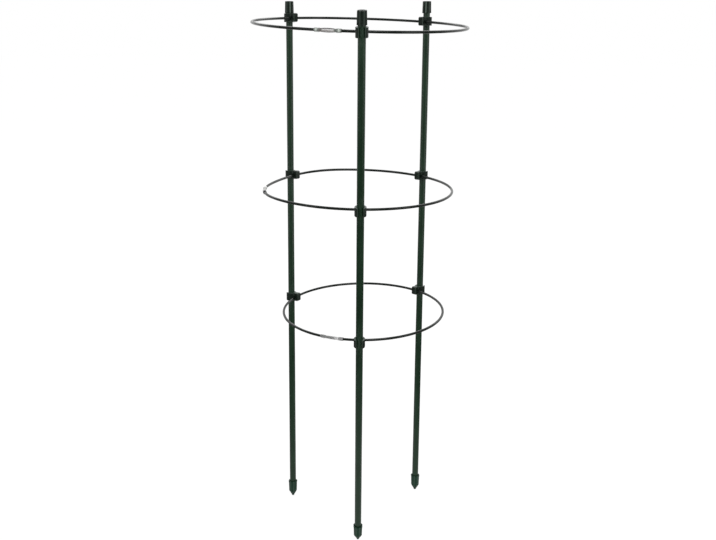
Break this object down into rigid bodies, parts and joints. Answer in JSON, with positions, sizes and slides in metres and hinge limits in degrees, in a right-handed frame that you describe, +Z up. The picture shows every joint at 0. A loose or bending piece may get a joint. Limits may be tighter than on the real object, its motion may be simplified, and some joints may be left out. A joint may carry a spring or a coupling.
{
  "type": "ring plant support",
  "caption": "Ring plant support: capped, pointed green stakes clipped round wire hoops that widen upwards, each hoop closed by a clear joint sleeve.",
  "frame": {"origin": "on the ground, under the middle of the support's bounding box", "axes": "+Z up; -Y towards the front stake; +X to the right as seen from the front"},
  "size_m": [0.224, 0.2482, 0.5983],
  "materials": {
    "steel_tube": "galvanised thin-walled tube, hidden inside the coat",
    "stake_coat": "dark green plastic coat with a soft sheen",
    "moulding": "black-green moulded plastic, finely textured",
    "coated_wire": "steel wire in a smooth, nearly black green plastic coat",
    "clear_sleeve": "clear flexible plastic"
  },
  "bodies": {
    "cage": {"top_hoop": "coated_wire", "top_left_clip": "moulding", "top_front_clip": "moulding", "top_right_clip": "moulding", "middle_hoop": "coated_wire", "middle_left_clip": "moulding", "middle_front_clip": "moulding", "middle_right_clip": "moulding", "lower_hoop": "coated_wire", "lower_left_clip": "moulding", "lower_front_clip": "moulding", "lower_right_clip": "moulding"},
    "left_stake": {"left_stake_tube": "steel_tube", "left_stake_coat": "stake_coat", "left_stake_cap": "moulding", "left_stake_tip": "moulding"},
    "front_stake": {"front_stake_tube": "steel_tube", "front_stake_coat": "stake_coat", "front_stake_cap": "moulding", "front_stake_tip": "moulding"},
    "right_stake": {"right_stake_tube": "steel_tube", "right_stake_coat": "stake_coat", "right_stake_cap": "moulding", "right_stake_tip": "moulding"},
    "top_sleeve": {"top_hoop_sleeve": "clear_sleeve"},
    "middle_sleeve": {"middle_hoop_sleeve": "clear_sleeve"},
    "lower_sleeve": {"lower_hoop_sleeve": "clear_sleeve"}
  },
  "joints": [
    {"name": "left_stake_slide", "type": "slide", "parent": "cage", "child": "left_stake", "axis": [-0.0102, 0.1121, 0.9936], "range_m": [0, 0.2345]},
    {"name": "front_stake_slide", "type": "slide", "parent": "cage", "child": "front_stake", "axis": [-0.0196, -0.1041, 0.9944], "range_m": [-0.0014, 0.2375]},
    {"name": "right_stake_slide", "type": "slide", "parent": "cage", "child": "right_stake", "axis": [-0.012, 0.0844, 0.9964], "range_m": [-0.004, 0.2405]},
    {"name": "top_sleeve_slide_round", "type": "hinge", "parent": "cage", "child": "top_sleeve", "pos_m": [-0.00163, -0.0056, 0.57767], "axis": [0.0174, 0.0021, 0.9998], "range_deg": [-3.26, 3.26]},
    {"name": "middle_sleeve_slide_round", "type": "hinge", "parent": "cage", "child": "middle_sleeve", "pos_m": [-0.02102, -0.00635, 0.40518], "axis": [0.0023, 0.0234, 0.9997], "range_deg": [-2.94, 4.41]},
    {"name": "lower_sleeve_slide_round", "type": "hinge", "parent": "cage", "child": "lower_sleeve", "pos_m": [0.01567, 0.01765, 0.2617], "axis": [-0.0452, 0.0012, 0.999], "range_deg": [-3.57, 3.57]}
  ]
}
